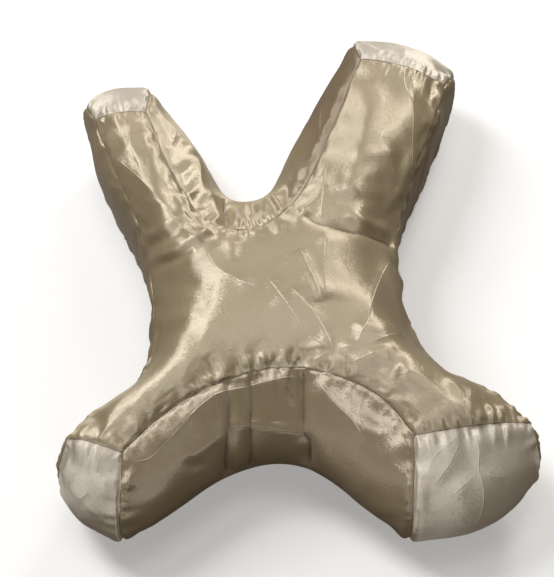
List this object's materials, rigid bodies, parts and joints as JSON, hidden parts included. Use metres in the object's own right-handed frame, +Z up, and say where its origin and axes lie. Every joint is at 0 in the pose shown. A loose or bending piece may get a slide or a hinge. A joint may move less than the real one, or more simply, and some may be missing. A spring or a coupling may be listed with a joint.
{
  "type": "contoured sleeping pillow",
  "caption": "X-shaped boxed satin pillow, firmly filled, with two long arms around a deep notch and two short wide feet around an arch.",
  "frame": {"origin": "bottom centre of the pillow's bounding box, on the surface that it lies on", "axes": "+Z up out of the face panel, +Y along the length towards the two long arms, +X towards the wider pair of limbs"},
  "size_m": [0.3734, 0.4654, 0.131],
  "materials": {
    "satin_cover": "champagne satin, soft directional sheen"
  },
  "bodies": {
    "root": {"pillow": "satin_cover"}
  },
  "joints": []
}
